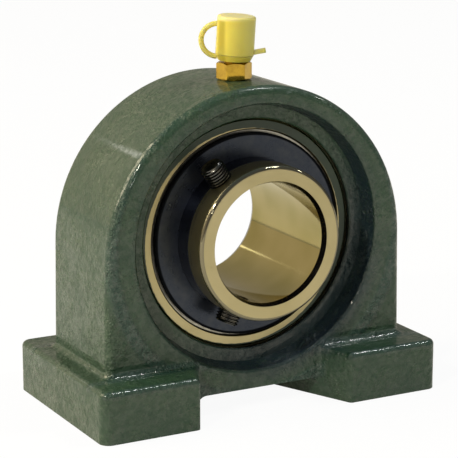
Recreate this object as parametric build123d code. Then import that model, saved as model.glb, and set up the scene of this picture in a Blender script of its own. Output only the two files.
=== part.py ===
"""Tapped-base pillow block with a self-aligning ball bearing insert.

Millimetres.  The origin is the centre of the base, on its underside.  +Z is up, the shaft
runs along Y and the set-screw side of the insert faces -Y.  Angles around the shaft are
degrees from straight up, positive towards +X.
"""
from build123d import *
import math
import os

# --- housing: feet, arch and the channel under it ------------------------------------------------
SHAFT_HEIGHT = 42.9            # underside of the feet to the shaft axis
FOOT_LEDGE = 5.3               # from the arch's side to the foot's end, on the underside
FOOT_WIDTH = 51.0
FOOT_HEIGHT = 13.0
FOOT_CORNER_RADIUS = 2.6
FOOT_EDGE_RADIUS = 1.4
GAP_CORNER_RADIUS = 1.2
FEET_GAP = 42.6                # between the two feet, at their front and rear faces
FEET_WAIST = 20.6              # between the two feet, at mid-width
CHANNEL_HEIGHT = 4.9
CHANNEL_CORNER_RADIUS = 2.4
ARCH_WALL = 10.0               # from the seat to the outside of the arch
ARCH_DROP = 3.1                # centre of the round top, below the shaft axis
ARCH_FLARE = 0.7               # how far each side runs out between the round top and the underside
ARCH_THICKNESS = 32.5
ARCH_EDGE_RADIUS = 2.0
LEDGE_FILLET = 1.6             # hollow corner between the arch and the foot tops

# --- housing: recesses and the spherical seat ----------------------------------------------------
RECESS_DEPTH = 5.3
RECESS_FLOOR_LEDGE = 1.4       # flat floor around the seat
RECESS_TAPER = 0.9             # how much wider the recess is at its mouth
RECESS_LIP_RADIUS = 0.9
SEAT_EDGE_BREAK = 0.3          # along the shaft, from the recess floor to the spherical seat
LOADING_SLOT_CLEARANCE = 0.4   # how much taller the loading slots are than the outer ring
LOADING_SLOT_END_GAP = 0.15    # from the outer ring's ball shape to each slot's end
GROOVE_AXIAL = -5.0            # grease groove in the seat
GROOVE_WIDTH = 5.6
GROOVE_DEPTH = 0.8

# --- housing: tapped base holes ------------------------------------------------------------------
BOLT_INSET = 8.0               # from the outside of the arch to each hole's axis
BOLT_CORE_RADIUS = 6.0         # core of an M14 thread
BOLT_HOLE_DEPTH = 18.0
BOLT_MOUTH_CHAMFER = 1.0
DRILL_POINT_ANGLE = 118.0

# --- insert: rings and balls ---------------------------------------------------------------------
ALIGNMENT_LIMIT = 5.0          # degrees that the insert can tilt and swivel in its seat
SEAT_CLEARANCE = 0.08
OUTER_RING_WIDTH = 19.0
OUTER_RING_WALL = 4.95         # from the bore to the spherical seat
OUTER_RING_CHAMFER = 1.0
OUTER_RING_MOUTH_CHAMFER = 0.35
LUBE_HOLE_RADIUS = 0.9
LUBE_HOLE_INSET = 2.15         # from the seal to the hole's axis
SHAFT_RADIUS = 15.0
INNER_RING_WALL = 4.4
INNER_RING_FRONT = 22.2        # from the ball centres to the set-screw end
INNER_RING_REAR = 15.9
INNER_RING_EDGE_RADIUS = 1.0
BORE_BEVEL_HEIGHT = 0.6        # at each end of the bore, across the shaft
BORE_BEVEL_LENGTH = 1.5        # and along it
BALL_COUNT = 9
BALL_RADIUS = 4.7625
BALL_STEP_IN = 3.6             # from the inner ring's outside to the ball centres
BALL_STEP_OUT = 3.05           # from the ball centres to the outer ring's bore
BALL_CLEARANCE = 0.12          # between a ball and its tracks or its cage pocket

# --- insert: cage --------------------------------------------------------------------------------
CAGE_THICKNESS = 0.8
CAGE_BAND = 3.2                # radial width of each ribbon
RIVET_RADIUS = 0.6
RIVET_CLEARANCE = 0.03
RIVET_HEAD_RADIUS = 1.0
RIVET_HEAD_HEIGHT = 0.35

# --- insert: seals and slingers ------------------------------------------------------------------
SEAL_INSET = 1.15              # from the outer ring's face to the middle of the seal plate
SEAL_PLATE_THICKNESS = 0.5
SEAL_WINDOW = 2.2              # from the inner ring to the seal plate's inner edge
SEAL_SEAT_DEPTH = 0.6          # groove in the outer ring's bore
SEAL_SEAT_CLEARANCE = 0.05
LIP_THICKNESS = 1.1
LIP_OVERLAP = 1.3              # how far the rubber reaches over the plate's inner edge
LIP_GAP = 0.15
SLINGER_RIM_GAP = 0.6          # around the slinger, inside the outer ring's bore
SLINGER_STANDOUT = 0.8         # from the outer ring's face to the slinger's outer face
SLINGER_THICKNESS = 0.7
SLINGER_RIM = 1.2
SLINGER_HUB = 1.05
SLINGER_FIT_GAP = 0.03

# --- insert: set screws --------------------------------------------------------------------------
SCREW_RADIUS = 3.0
SCREW_LENGTH = 7.0
SCREW_CLEARANCE = 0.05
SCREW_SETBACK = 6.0            # from the inner ring's end to the screws' axes
SCREW_ANGLES = (-34.5, -154.5)
SCREW_STANDOUT = (4.65, 2.65)  # how far each outer end stands above the inner ring
SCREW_CHAMFER = 0.5
SOCKET_ACROSS_FLATS = 3.0
SOCKET_DEPTH = 3.0
CUP_RADIUS = 1.6
CUP_DEPTH = 0.8

# --- insert: locating pin ------------------------------------------------------------------------
PIN_ANGLE = 90.0
PIN_RADIUS = 1.5
PIN_SEAT_DEPTH = 1.9           # from the seat sphere down into the outer ring
PIN_STANDOUT = 1.6             # from the seat sphere out into its slot
PIN_HOLE_CLEARANCE = 0.05
PIN_SLOT_CLEARANCE = 0.1
PIN_END_GAP = 0.4
PIN_CHAMFER = 0.3

# --- grease nipple, upwards from its seat on the arch --------------------------------------------
NIPPLE_AXIAL = -3.0
SPOT_FACE_DEPTH = 0.15
SPOT_FACE_RADIUS = 5.4
NIPPLE_THREAD_RADIUS = 3.0
NIPPLE_THREAD_LENGTH = 4.6
NIPPLE_THREAD_RUNOUT = 0.4
NIPPLE_THREAD_CLEARANCE = 0.05
FEED_RADIUS = 1.75
HEX_ACROSS_FLATS = 7.7
HEX_HEIGHT = 4.35
HEX_TURN = -22.3
HEX_EDGE_RADIUS = 0.25
HEX_CHAMFER_ANGLE = 30.0
HEX_CHAMFER_SHARE = 0.97       # chamfer circle as a share of the width across flats
NECK_RADIUS = 2.35
NECK_HEIGHT = 2.0
HEAD_RADIUS = 3.2
HEAD_SHOULDER = 0.8
HEAD_BARREL = 1.8
HEAD_TIP_RADIUS = 2.3
HEAD_TIP_HEIGHT = 2.3
MOUTH_RADIUS = 0.9
VALVE_CHAMBER_RADIUS = 1.45
VALVE_LIP = 0.5                # metal over the valve chamber at the nipple's mouth
CRIMP_HEIGHT = 1.0             # turned-in metal under the spring
CHECK_BALL_RADIUS = 1.25
VALVE_GAP = 0.03
SPRING_RADIUS = 1.0
SPRING_WIRE_RADIUS = 0.16
SPRING_TURNS = 6

# --- grease nipple cap, upwards from the top of the hexagon along its leaning axis ---------------
CAP_YAW = -28.3                # direction of the pull tab about Z, from +X
CAP_LEAN = 3.5                 # degrees that the cap leans towards its pull tab
CAP_RADIUS = 4.75
CAP_BOTTOM = 1.9
CAP_TOP = 11.35
CAP_WALL = 0.95
CAP_ROOF = 1.3
CAP_EDGE_RADIUS = 0.6
TAB_REACH = 7.6
TAB_WIDTH = 2.2
TAB_THICKNESS = 0.95
TAB_RISE = 13.5
TAB_CORNER_RADIUS = 0.4
TAB_HEIGHT = 0.55              # from the cap's rim to the middle of the tab's root
COLLAR_BOTTOM = 0.35
COLLAR_TOP = 1.8
COLLAR_RADIUS = 4.75
COLLAR_FOOT_RADIUS = 4.05
COLLAR_BORE_RADIUS = 2.9
STRAP_RADIUS = 0.67
STRAP_REACH = 8.4              # from the cap's axis to the middle of the strap's bow
STRAP_BOW_RADIUS = 4.05
STRAP_END_GAP = 0.05

# --- radii from the shaft outwards, and places along it ------------------------------------------
INNER_RING_RADIUS = SHAFT_RADIUS + INNER_RING_WALL
SEAL_PLATE_INNER_RADIUS = INNER_RING_RADIUS + SEAL_WINDOW
PITCH_RADIUS = INNER_RING_RADIUS + BALL_STEP_IN
OUTER_RING_BORE_RADIUS = PITCH_RADIUS + BALL_STEP_OUT
SLINGER_RADIUS = OUTER_RING_BORE_RADIUS - SLINGER_RIM_GAP
SEAT_RADIUS = OUTER_RING_BORE_RADIUS + OUTER_RING_WALL
RECESS_FLOOR_RADIUS = SEAT_RADIUS + RECESS_FLOOR_LEDGE
RECESS_MOUTH_RADIUS = RECESS_FLOOR_RADIUS + RECESS_TAPER
ARCH_RADIUS = SEAT_RADIUS + ARCH_WALL
SEAL_AXIAL = OUTER_RING_WIDTH / 2 - SEAL_INSET
SLINGER_FACE = OUTER_RING_WIDTH / 2 + SLINGER_STANDOUT
LUBE_HOLE_AXIAL = LUBE_HOLE_INSET - SEAL_AXIAL
SCREW_AXIAL = SCREW_SETBACK - INNER_RING_FRONT

# --- sizes that follow from those ----------------------------------------------------------------
BOLT_SPACING = 2 * (ARCH_RADIUS - BOLT_INSET)
ARCH_CENTRE_HEIGHT = SHAFT_HEIGHT - ARCH_DROP
ARCH_FOOT_WIDTH = 2 * (ARCH_RADIUS + ARCH_FLARE)
FOOT_LENGTH = ARCH_FOOT_WIDTH + 2 * FOOT_LEDGE
HALF_ARCH = ARCH_THICKNESS / 2
CREST = ARCH_CENTRE_HEIGHT + ARCH_RADIUS
RECESS_FLOOR = HALF_ARCH - RECESS_DEPTH
SCREW_HOLE_RADIUS = SCREW_RADIUS + SCREW_CLEARANCE
POCKET_RADIUS = BALL_RADIUS + BALL_CLEARANCE
NIPPLE_SEAT = CREST - SPOT_FACE_DEPTH
HEAD_BOTTOM = HEX_HEIGHT + NECK_HEIGHT
NIPPLE_TOP = HEAD_BOTTOM + HEAD_SHOULDER + HEAD_BARREL + HEAD_TIP_HEIGHT
CHAMBER_TOP = NIPPLE_TOP - VALVE_LIP
CHAMBER_BOTTOM = CRIMP_HEIGHT - NIPPLE_THREAD_LENGTH
SMALL = 0.01                   # tolerance when picking edges by position

bearing_place = Pos(0, 0, SHAFT_HEIGHT)
nipple_place = Pos(0, NIPPLE_AXIAL, NIPPLE_SEAT)
cap_place = nipple_place * Pos(0, 0, HEX_HEIGHT) * Rot(0, 0, CAP_YAW) * Rot(0, CAP_LEAN, 0)
UPWARDS = (Align.CENTER, Align.CENTER, Align.MIN)
DOWNWARDS = (Align.CENTER, Align.CENTER, Align.MAX)


def closed_outline(points):
    """A face bounded by straight lines through the points."""
    return make_face(Polyline(*points, close=True))


def rectangle_between(x_low, x_high, y_low, y_high):
    """A rectangle given by its four sides."""
    middle = Pos((x_low + x_high) / 2, (y_low + y_high) / 2)
    return middle * Rectangle(x_high - x_low, y_high - y_low)


def turned(profile):
    """Spin a profile, drawn with X as radius and Y along the shaft, in the bearing's place."""
    return bearing_place * revolve(profile, axis=Axis.Y)


def lathe(profile):
    """Spin a profile, drawn with X as radius and Y as height, about a vertical axis."""
    return revolve(Plane.XZ * profile, axis=Axis.Z)


def radial_place(angle, axial, radius):
    """A place on the bearing whose own Z points away from the shaft."""
    return bearing_place * Pos(0, axial, 0) * Rot(0, angle, 0) * Pos(0, 0, radius)


def ball_place(index):
    """Centre of one ball, counted from the top; halves give the places between balls."""
    return radial_place(index * 360 / BALL_COUNT, 0, PITCH_RADIUS)


# --- housing -------------------------------------------------------------------------------------
def arch_body():
    """The arch, with sides that run tangent from the round top out to the foot width."""
    half_width = ARCH_FOOT_WIDTH / 2
    reach = math.hypot(half_width, ARCH_CENTRE_HEIGHT)
    touch_angle = math.acos(ARCH_RADIUS / reach) - math.atan2(ARCH_CENTRE_HEIGHT, half_width)
    touch_x = ARCH_RADIUS * math.cos(touch_angle)
    touch_z = ARCH_CENTRE_HEIGHT + ARCH_RADIUS * math.sin(touch_angle)
    outline = [
        Line((half_width, 0), (touch_x, touch_z)),
        ThreePointArc((touch_x, touch_z), (0, CREST), (-touch_x, touch_z)),
        Line((-touch_x, touch_z), (-half_width, 0)),
        Line((-half_width, 0), (half_width, 0)),
    ]
    body = extrude(Plane.XZ * make_face(Curve() + outline), HALF_ARCH, both=True)
    rims = [
        edge for edge in body.edges()
        if abs(abs(edge.center().Y) - HALF_ARCH) < SMALL and edge.bounding_box().max.Z > SMALL
    ]
    return fillet(rims, ARCH_EDGE_RADIUS)


def gap_half_width(y):
    """Half the gap between the feet at a distance y from mid-width."""
    flare = (FEET_GAP - FEET_WAIST) / FOOT_WIDTH
    return FEET_WAIST / 2 + flare * y


def foot():
    """The right-hand foot; its inner side narrows the gap towards mid-width."""
    side = FOOT_WIDTH / 2
    return extrude(closed_outline([
        (FOOT_LENGTH / 2, -side),
        (FEET_GAP / 2, -side),
        (FEET_WAIST / 2, 0),
        (FEET_GAP / 2, side),
        (FOOT_LENGTH / 2, side),
    ]), FOOT_HEIGHT)


def channel():
    """The waisted channel under the arch, with rounded upper corners."""
    beyond = FOOT_WIDTH / 2 + 2 * CHANNEL_CORNER_RADIUS
    wide = gap_half_width(beyond)
    waist = FEET_WAIST / 2
    block = extrude(closed_outline([
        (wide, -beyond), (waist, 0), (wide, beyond),
        (-wide, beyond), (-waist, 0), (-wide, -beyond),
    ]), CHANNEL_HEIGHT)
    upper_corners = [
        edge for edge in block.edges()
        if abs(edge.center().Z - CHANNEL_HEIGHT) < SMALL and abs(edge.center().X) > SMALL
    ]
    return fillet(upper_corners, CHANNEL_CORNER_RADIUS)


def is_upright(edge, x, y, height):
    """Whether an edge stands at (+-x, +-y) and is at least so tall."""
    box = edge.bounding_box()
    at_x = abs(abs(edge.center().X) - x) < SMALL
    at_y = abs(abs(edge.center().Y) - y) < SMALL
    return at_x and at_y and box.max.Z - box.min.Z > height


def lies_on_foot_top(edge):
    """Whether an edge lies flat at the height of the foot tops."""
    box = edge.bounding_box()
    return box.max.Z - box.min.Z < SMALL and abs(box.min.Z - FOOT_HEIGHT) < SMALL


def casting_blank():
    """Arch and feet in one, with the hollow and outer corners rounded as a casting's are."""
    right_foot = foot()
    blank = arch_body() + right_foot + right_foot.mirror(Plane.YZ) - channel()

    half_side = ARCH_FOOT_WIDTH / 2
    hollows = [
        edge for edge in blank.edges()
        if lies_on_foot_top(edge) and abs(edge.center().Y) < HALF_ARCH + SMALL
        and abs(edge.center().X) < half_side + SMALL
    ]
    joint_x = gap_half_width(HALF_ARCH)
    hollows += [e for e in blank.edges() if is_upright(e, joint_x, HALF_ARCH, CHANNEL_HEIGHT)]
    blank = fillet(hollows, LEDGE_FILLET)

    side = FOOT_WIDTH / 2
    tall = FOOT_HEIGHT - SMALL
    corners = [e for e in blank.edges() if is_upright(e, FOOT_LENGTH / 2, side, tall)]
    blank = fillet(corners, FOOT_CORNER_RADIUS)
    corners = [e for e in blank.edges() if is_upright(e, FEET_GAP / 2, side, tall)]
    blank = fillet(corners, GAP_CORNER_RADIUS)

    clear_y = HALF_ARCH + LEDGE_FILLET + SMALL
    clear_x = half_side + LEDGE_FILLET
    rims = [
        edge for edge in blank.edges()
        if lies_on_foot_top(edge)
        and (abs(edge.center().Y) > clear_y or abs(edge.center().X) > clear_x)
    ]
    return fillet(rims, FOOT_EDGE_RADIUS)


def recess_section():
    """Half of a recess: broken edge of the seat, flat floor, tapered wall and rounded lip."""
    seat_end = RECESS_FLOOR - SEAT_EDGE_BREAK
    seat_mouth = math.sqrt(SEAT_RADIUS**2 - seat_end**2)
    lip_start = HALF_ARCH - RECESS_LIP_RADIUS
    lip_end = RECESS_MOUTH_RADIUS + RECESS_LIP_RADIUS
    across = RECESS_LIP_RADIUS * math.sqrt(0.5)
    bored = Polyline(
        (0, ARCH_THICKNESS),
        (0, seat_end),
        (seat_mouth, seat_end),
        (seat_mouth + SEAT_EDGE_BREAK, RECESS_FLOOR),
        (RECESS_FLOOR_RADIUS, RECESS_FLOOR),
        (RECESS_MOUTH_RADIUS, lip_start),
    )
    lip = ThreePointArc(
        (RECESS_MOUTH_RADIUS, lip_start), (lip_end - across, lip_start + across), (lip_end, HALF_ARCH))
    outside = Polyline((lip_end, HALF_ARCH), (lip_end, ARCH_THICKNESS), (0, ARCH_THICKNESS))
    return make_face(Curve() + [bored, lip, outside])


def bearing_room():
    """Everything round that is bored out for the insert: recesses, seat and grease groove."""
    recess = recess_section()
    seat_end = RECESS_FLOOR - SEAT_EDGE_BREAK
    seat = Circle(SEAT_RADIUS) & rectangle_between(0, SEAT_RADIUS, -seat_end, seat_end)
    half_groove = GROOVE_WIDTH / 2
    groove = rectangle_between(
        0, SEAT_RADIUS + GROOVE_DEPTH, GROOVE_AXIAL - half_groove, GROOVE_AXIAL + half_groove)
    return turned(recess + recess.mirror(Plane.XZ) + seat + groove)


def loading_slots():
    """Two slots in the rear half of the seat, through which the insert goes in edge-on."""
    height = OUTER_RING_WIDTH + LOADING_SLOT_CLEARANCE
    reach = SEAT_RADIUS + LOADING_SLOT_END_GAP
    slot = Box(2 * reach, RECESS_FLOOR, height, align=(Align.CENTER, Align.MIN, Align.CENTER))
    return bearing_place * slot


def pin_slot():
    """Groove across the seat in which the locating pin moves when the insert swivels."""
    swing = SEAT_RADIUS * math.sin(math.radians(ALIGNMENT_LIMIT))
    front = swing + PIN_RADIUS + PIN_END_GAP
    reach = SEAT_RADIUS + PIN_STANDOUT + PIN_END_GAP
    height = 2 * (PIN_RADIUS + PIN_SLOT_CLEARANCE)
    slot = Box(reach, front + RECESS_FLOOR, height, align=(Align.MIN, Align.MIN, Align.CENTER))
    return bearing_place * Pos(0, -front, 0) * slot


def tapped_hole():
    """One blind base hole at core size, with its drill point and mouth chamfer."""
    point = BOLT_CORE_RADIUS / math.tan(math.radians(DRILL_POINT_ANGLE / 2))
    return lathe(closed_outline([
        (0, 0),
        (BOLT_CORE_RADIUS + BOLT_MOUTH_CHAMFER, 0),
        (BOLT_CORE_RADIUS, BOLT_MOUTH_CHAMFER),
        (BOLT_CORE_RADIUS, BOLT_HOLE_DEPTH),
        (0, BOLT_HOLE_DEPTH + point),
    ]))


def nipple_hole():
    """Spot face, thread core and feed drilling from the crest down into the seat."""
    wall = NIPPLE_SEAT - SHAFT_HEIGHT - SEAT_RADIUS
    spot = Cylinder(SPOT_FACE_RADIUS, ARCH_EDGE_RADIUS, align=UPWARDS)
    thread_radius = NIPPLE_THREAD_RADIUS + NIPPLE_THREAD_CLEARANCE
    thread = Cylinder(thread_radius, NIPPLE_THREAD_LENGTH + NIPPLE_THREAD_RUNOUT, align=DOWNWARDS)
    feed = Cylinder(FEED_RADIUS, wall + FEED_RADIUS, align=DOWNWARDS)
    return nipple_place * (spot + thread + feed)


def housing():
    """The machined casting."""
    body = casting_blank() - bearing_room() - loading_slots() - pin_slot() - nipple_hole()
    for side in (-1, 1):
        body -= Pos(side * BOLT_SPACING / 2, 0, 0) * tapped_hole()
    return body


# --- rings, balls and cage -----------------------------------------------------------------------
def ball_track():
    """Cross-section of the ball track, shared by both rings."""
    return Pos(PITCH_RADIUS, 0) * Circle(POCKET_RADIUS)


def outer_ring():
    """Ball-shaped outside, ball track inside, a seal groove near each end."""
    half = OUTER_RING_WIDTH / 2
    ball = SEAT_RADIUS - SEAT_CLEARANCE
    profile = Circle(ball) & rectangle_between(OUTER_RING_BORE_RADIUS, ball, -half, half)
    ends = [v for v in profile.vertices() if abs(abs(v.Y) - half) < SMALL]
    rim = [v for v in ends if v.X > OUTER_RING_BORE_RADIUS + SMALL]
    profile = chamfer(rim, OUTER_RING_CHAMFER)
    ends = [v for v in profile.vertices() if abs(abs(v.Y) - half) < SMALL]
    mouth = [v for v in ends if v.X < OUTER_RING_BORE_RADIUS + SMALL]
    profile = chamfer(mouth, OUTER_RING_MOUTH_CHAMFER) - ball_track()
    half_seat = SEAL_PLATE_THICKNESS / 2 + SEAL_SEAT_CLEARANCE
    seat_radius = OUTER_RING_BORE_RADIUS + SEAL_SEAT_DEPTH
    seat = rectangle_between(PITCH_RADIUS, seat_radius, SEAL_AXIAL - half_seat, SEAL_AXIAL + half_seat)
    ring = turned(profile - seat - seat.mirror(Plane.XZ))
    ring -= radial_place(0, LUBE_HOLE_AXIAL, SEAT_RADIUS) * Cylinder(
        LUBE_HOLE_RADIUS, SEAT_RADIUS - PITCH_RADIUS + BALL_RADIUS)
    hole_bottom = SEAT_RADIUS - PIN_SEAT_DEPTH - PIN_HOLE_CLEARANCE
    return ring - radial_place(PIN_ANGLE, 0, hole_bottom) * Cylinder(
        PIN_RADIUS + PIN_HOLE_CLEARANCE, SEAT_RADIUS - hole_bottom, align=UPWARDS)


def inner_ring():
    """Wide inner ring with the ball track and two radial set-screw holes."""
    bevel_radius = SHAFT_RADIUS + BORE_BEVEL_HEIGHT
    profile = closed_outline([
        (SHAFT_RADIUS, BORE_BEVEL_LENGTH - INNER_RING_FRONT),
        (bevel_radius, -INNER_RING_FRONT),
        (INNER_RING_RADIUS, -INNER_RING_FRONT),
        (INNER_RING_RADIUS, INNER_RING_REAR),
        (bevel_radius, INNER_RING_REAR),
        (SHAFT_RADIUS, INNER_RING_REAR - BORE_BEVEL_LENGTH),
    ])
    profile = fillet(profile.vertices().group_by(Axis.X)[-1], INNER_RING_EDGE_RADIUS)
    ring = turned(profile - ball_track())
    for angle in SCREW_ANGLES:
        ring -= radial_place(angle, SCREW_AXIAL, SHAFT_RADIUS / 2) * Cylinder(
            SCREW_HOLE_RADIUS, INNER_RING_RADIUS, align=UPWARDS)
    return ring


def cage_half(side):
    """One pressed ribbon: flat between the balls and domed over each of them."""
    inner = PITCH_RADIUS - CAGE_BAND / 2
    outer = PITCH_RADIUS + CAGE_BAND / 2
    dome_radius = POCKET_RADIUS + CAGE_THICKNESS
    flat = turned(rectangle_between(inner, outer, *sorted((0, side * CAGE_THICKNESS))))
    band = turned(rectangle_between(inner, outer, *sorted((0, side * dome_radius))))
    half = flat
    for index in range(BALL_COUNT):
        half += band & ball_place(index) * Sphere(dome_radius)
    for index in range(BALL_COUNT):
        half -= ball_place(index) * Sphere(POCKET_RADIUS)
        half -= ball_place(index + 0.5) * Rot(90, 0, 0) * Cylinder(
            RIVET_RADIUS + RIVET_CLEARANCE, 4 * CAGE_THICKNESS)
    return half


def rivet():
    """A headed rivet through both ribbons, along Z."""
    grip = CAGE_THICKNESS
    head = grip + RIVET_HEAD_HEIGHT
    return lathe(closed_outline([
        (0, -head), (RIVET_HEAD_RADIUS, -head), (RIVET_HEAD_RADIUS, -grip), (RIVET_RADIUS, -grip),
        (RIVET_RADIUS, grip), (RIVET_HEAD_RADIUS, grip), (RIVET_HEAD_RADIUS, head), (0, head),
    ]))


def cage_rivets():
    """One rivet between each pair of balls."""
    place = Rot(90, 0, 0)
    return Compound(children=[ball_place(i + 0.5) * place * rivet() for i in range(BALL_COUNT)])


# --- seals and slingers; side is -1 at the front and 1 at the rear -------------------------------
def seal_plate_section():
    half = SEAL_PLATE_THICKNESS / 2
    rim = OUTER_RING_BORE_RADIUS + SEAL_SEAT_DEPTH - SEAL_SEAT_CLEARANCE
    return rectangle_between(SEAL_PLATE_INNER_RADIUS, rim, SEAL_AXIAL - half, SEAL_AXIAL + half)


def seal_lip_section():
    half = LIP_THICKNESS / 2
    lip = rectangle_between(
        INNER_RING_RADIUS + LIP_GAP, SEAL_PLATE_INNER_RADIUS + LIP_OVERLAP,
        SEAL_AXIAL - half, SEAL_AXIAL + half)
    return lip - seal_plate_section()


def slinger_section():
    """A flat pressed disc with its rim and its hub turned inwards."""
    hub_radius = INNER_RING_RADIUS + SLINGER_FIT_GAP
    face = SLINGER_FACE
    disc = rectangle_between(hub_radius, SLINGER_RADIUS, face - SLINGER_THICKNESS, face)
    rim = rectangle_between(SLINGER_RADIUS - SLINGER_THICKNESS, SLINGER_RADIUS, face - SLINGER_RIM, face)
    hub = rectangle_between(hub_radius, hub_radius + SLINGER_THICKNESS, face - SLINGER_HUB, face)
    return disc + rim + hub


def on_side(section, side):
    """Spin a section at the rear, or mirrored to the front."""
    if side < 0:
        section = section.mirror(Plane.XZ)
    return turned(section)


# --- set screws and locating pin -----------------------------------------------------------------
def set_screw():
    """A cup-point screw with a hexagon socket; its outer end is at Z = 0, the cup below."""
    body = Cylinder(SCREW_RADIUS, SCREW_LENGTH, align=DOWNWARDS)
    body = chamfer(body.edges().filter_by(GeomType.CIRCLE), SCREW_CHAMFER)
    socket = RegularPolygon(SOCKET_ACROSS_FLATS / 2, 6, major_radius=False)
    body -= extrude(socket, -SOCKET_DEPTH)
    cup = Cone(CUP_RADIUS, 0, CUP_DEPTH, align=UPWARDS)
    return body - Pos(0, 0, -SCREW_LENGTH) * cup


def locating_pin():
    """Pin that keeps the outer ring from turning; the insert tilts about it."""
    pin = Cylinder(PIN_RADIUS, PIN_SEAT_DEPTH + PIN_STANDOUT, align=UPWARDS)
    pin = chamfer(pin.edges().filter_by(GeomType.CIRCLE), PIN_CHAMFER)
    return radial_place(PIN_ANGLE, 0, SEAT_RADIUS - PIN_SEAT_DEPTH) * pin


# --- grease nipple -------------------------------------------------------------------------------
def nipple_hexagon():
    """Hexagon with its corners chamfered at both ends."""
    half_flats = HEX_ACROSS_FLATS / 2
    corner = half_flats / math.cos(math.radians(30)) + SMALL
    circle = half_flats * HEX_CHAMFER_SHARE
    drop = (corner - circle) * math.tan(math.radians(HEX_CHAMFER_ANGLE))
    hexagon = RegularPolygon(half_flats, 6, major_radius=False, rotation=HEX_TURN)
    prism = extrude(fillet(hexagon.vertices(), HEX_EDGE_RADIUS), HEX_HEIGHT)
    return prism & lathe(closed_outline([
        (0, 0), (circle, 0), (corner, drop),
        (corner, HEX_HEIGHT - drop), (circle, HEX_HEIGHT), (0, HEX_HEIGHT),
    ]))


def nipple_body():
    """Threaded shank, hexagon, neck and the coupling head, bored through for the valve."""
    shoulder = HEAD_BOTTOM + HEAD_SHOULDER
    barrel = shoulder + HEAD_BARREL
    stem = lathe(closed_outline([
        (0, -NIPPLE_THREAD_LENGTH),
        (NIPPLE_THREAD_RADIUS - NIPPLE_THREAD_RUNOUT, -NIPPLE_THREAD_LENGTH),
        (NIPPLE_THREAD_RADIUS, NIPPLE_THREAD_RUNOUT - NIPPLE_THREAD_LENGTH),
        (NIPPLE_THREAD_RADIUS, HEX_HEIGHT / 2),
        (NECK_RADIUS, HEX_HEIGHT / 2),
        (NECK_RADIUS, HEAD_BOTTOM),
        (HEAD_RADIUS, shoulder),
        (HEAD_RADIUS, barrel),
        (HEAD_TIP_RADIUS, NIPPLE_TOP),
        (0, NIPPLE_TOP),
    ]))
    bore = lathe(closed_outline([
        (0, -NIPPLE_THREAD_LENGTH - SMALL),
        (MOUTH_RADIUS, -NIPPLE_THREAD_LENGTH - SMALL),
        (MOUTH_RADIUS, CHAMBER_BOTTOM),
        (VALVE_CHAMBER_RADIUS, CHAMBER_BOTTOM),
        (VALVE_CHAMBER_RADIUS, CHAMBER_TOP),
        (MOUTH_RADIUS, CHAMBER_TOP),
        (MOUTH_RADIUS, NIPPLE_TOP + SMALL),
        (0, NIPPLE_TOP + SMALL),
    ]))
    return nipple_place * (nipple_hexagon() + stem - bore)


def check_ball_height():
    """Centre of the check ball when it closes the mouth."""
    return CHAMBER_TOP - math.sqrt(CHECK_BALL_RADIUS**2 - MOUTH_RADIUS**2) - VALVE_GAP


def nipple_spring():
    """Coil between the crimp and the check ball."""
    low = CHAMBER_BOTTOM + SPRING_WIRE_RADIUS + VALVE_GAP
    high = check_ball_height() - CHECK_BALL_RADIUS - SPRING_WIRE_RADIUS - VALVE_GAP
    coil = Helix((high - low) / SPRING_TURNS, high - low, SPRING_RADIUS)
    wire = Plane(coil @ 0, z_dir=coil % 0) * Circle(SPRING_WIRE_RADIUS)
    return nipple_place * Pos(0, 0, low) * sweep(wire, path=coil, is_frenet=True)


# --- grease nipple cap ---------------------------------------------------------------------------
def cap():
    """Moulded cap with a pull tab on its rim."""
    body = Pos(0, 0, CAP_BOTTOM) * Cylinder(CAP_RADIUS, CAP_TOP - CAP_BOTTOM, align=UPWARDS)
    body = fillet(body.edges().filter_by(GeomType.CIRCLE).sort_by(Axis.Z)[-1], CAP_EDGE_RADIUS)
    root = CAP_RADIUS - CAP_WALL / 2
    tab_length = (TAB_REACH - root) / math.cos(math.radians(TAB_RISE))
    tab = Box(tab_length, TAB_WIDTH, TAB_THICKNESS, align=(Align.MIN, Align.CENTER, Align.CENTER))
    tip_corners = tab.edges().filter_by(Axis.Z).group_by(Axis.X)[-1]
    tab = fillet(tip_corners, TAB_CORNER_RADIUS)
    body += Pos(root, 0, CAP_BOTTOM + TAB_HEIGHT) * Rot(0, -TAB_RISE, 0) * tab
    hollow = Pos(0, 0, CAP_BOTTOM - CAP_WALL) * Cylinder(
        CAP_RADIUS - CAP_WALL, CAP_TOP - CAP_ROOF - CAP_BOTTOM + CAP_WALL, align=UPWARDS)
    return cap_place * (body - hollow)


def collar_blank():
    """Outer shape of the collar that holds the cap's strap on the nipple's neck."""
    return Pos(0, 0, COLLAR_BOTTOM) * Cone(
        COLLAR_FOOT_RADIUS, COLLAR_RADIUS, COLLAR_TOP - COLLAR_BOTTOM, align=UPWARDS)


def cap_collar():
    """The collar around the neck."""
    return cap_place * (collar_blank() - Cylinder(COLLAR_BORE_RADIUS, CAP_TOP))


def cap_strap():
    """Bowed round strap from the collar up to the cap, on the side away from the pull tab."""
    bow_x = STRAP_BOW_RADIUS - STRAP_REACH
    low = COLLAR_BOTTOM + STRAP_RADIUS
    high = low + 2 * STRAP_BOW_RADIUS
    ends = Circle(STRAP_RADIUS)
    bow = revolve(Plane.YZ * Pos(0, -STRAP_BOW_RADIUS) * ends, axis=Axis.Y, revolution_arc=180)
    run = extrude(Plane.YZ * ends, -bow_x)
    strap = Pos(bow_x, 0, low + STRAP_BOW_RADIUS) * bow
    strap += Pos(bow_x, 0, low) * run + Pos(bow_x, 0, high) * run
    cap_blank = Pos(0, 0, CAP_BOTTOM) * Cylinder(CAP_RADIUS + STRAP_END_GAP, CAP_TOP, align=UPWARDS)
    return cap_place * (strap - cap_blank - collar_blank())


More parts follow.
